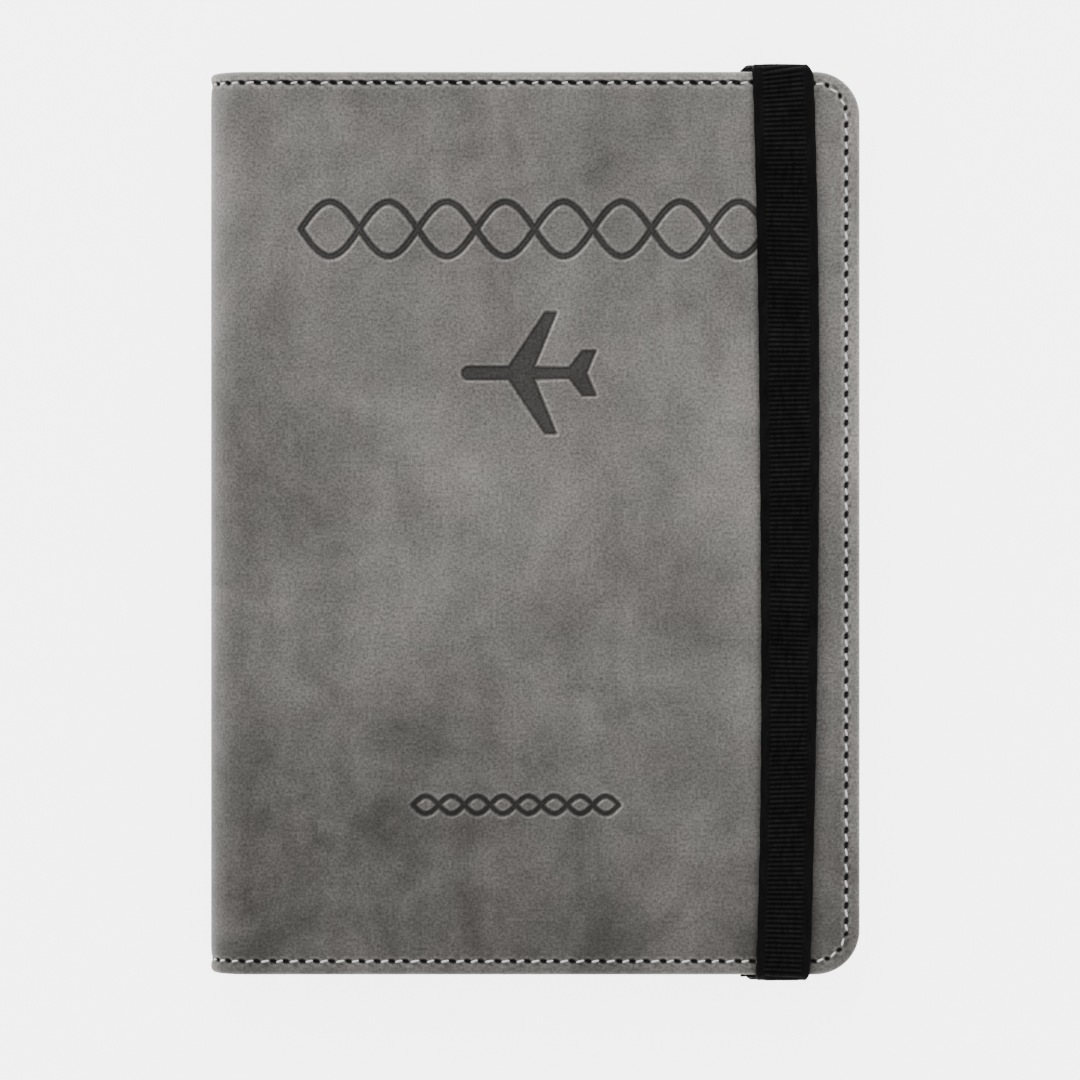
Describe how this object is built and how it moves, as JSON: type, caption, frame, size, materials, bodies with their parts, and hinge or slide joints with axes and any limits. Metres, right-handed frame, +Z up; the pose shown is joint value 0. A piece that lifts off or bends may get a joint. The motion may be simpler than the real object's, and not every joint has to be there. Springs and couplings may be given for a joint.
{
  "type": "passport holder wallet",
  "caption": "Book-style travel wallet for a passport, with a soft stitched cover, stepped card pockets, a passport sleeve and an elastic closing band.",
  "frame": {"origin": "on the table, under the middle of the closed wallet's outline", "axes": "+X from the spine to the fore edge, +Y from the tail to the head, +Z up, out of the front cover"},
  "size_m": [0.1045, 0.1474, 0.0142],
  "materials": {
    "cover_leather": "soft matte nubuck-like leather, mottled grey with cloudy light and dark patches",
    "pocket_leather": "thin smooth matte grey leather",
    "stiffener_board": "plain pressed greyboard",
    "lining_cloth": "thin dark woven lining",
    "seam_thread": "light grey twisted sewing thread",
    "woven_elastic": "black woven elastic with fine ribs across it"
  },
  "bodies": {
    "back_cover": {"back_cover_leather": "cover_leather", "back_cover_board": "stiffener_board", "back_cover_lining": "lining_cloth", "back_seam_thread": "seam_thread", "boarding_pass_pocket": "pocket_leather", "passport_sleeve": "pocket_leather", "band_end_head": "woven_elastic", "band_end_tail": "woven_elastic", "spine_leather_1": "cover_leather", "spine_lining_1": "lining_cloth"},
    "spine": {"spine_leather_2": "cover_leather", "spine_leather_3": "cover_leather", "spine_lining_2": "lining_cloth", "spine_lining_3": "lining_cloth"},
    "front_cover": {"front_cover_leather": "cover_leather", "front_cover_board": "stiffener_board", "front_cover_lining": "lining_cloth", "front_seam_thread": "seam_thread", "card_panel": "pocket_leather", "card_pocket_1": "pocket_leather", "card_pocket_2": "pocket_leather", "card_pocket_3": "pocket_leather", "sim_pocket": "pocket_leather", "spine_leather_4": "cover_leather", "spine_lining_4": "lining_cloth"},
    "elastic_band": {"elastic_band": "woven_elastic"}
  },
  "joints": [
    {"name": "cover_opening", "type": "hinge", "parent": "back_cover", "child": "spine", "pos_m": [-0.05035, 0, 0.0019], "axis": [0, -1, 0], "range_deg": [0, 90]},
    {"name": "front_cover_fold", "type": "hinge", "parent": "spine", "child": "front_cover", "pos_m": [-0.05035, 0, 0.0111], "axis": [0, -1, 0], "range_deg": [0, 90]},
    {"name": "band_release", "type": "hinge", "parent": "back_cover", "child": "elastic_band", "pos_m": [0.0405, 0, 0.0065], "axis": [0, 1, 0], "range_deg": [0, 180], "deforming": ["elastic_band"]}
  ],
  "couplings": [
    {"joint": "front_cover_fold", "follows": "cover_opening", "ratio": 1}
  ]
}
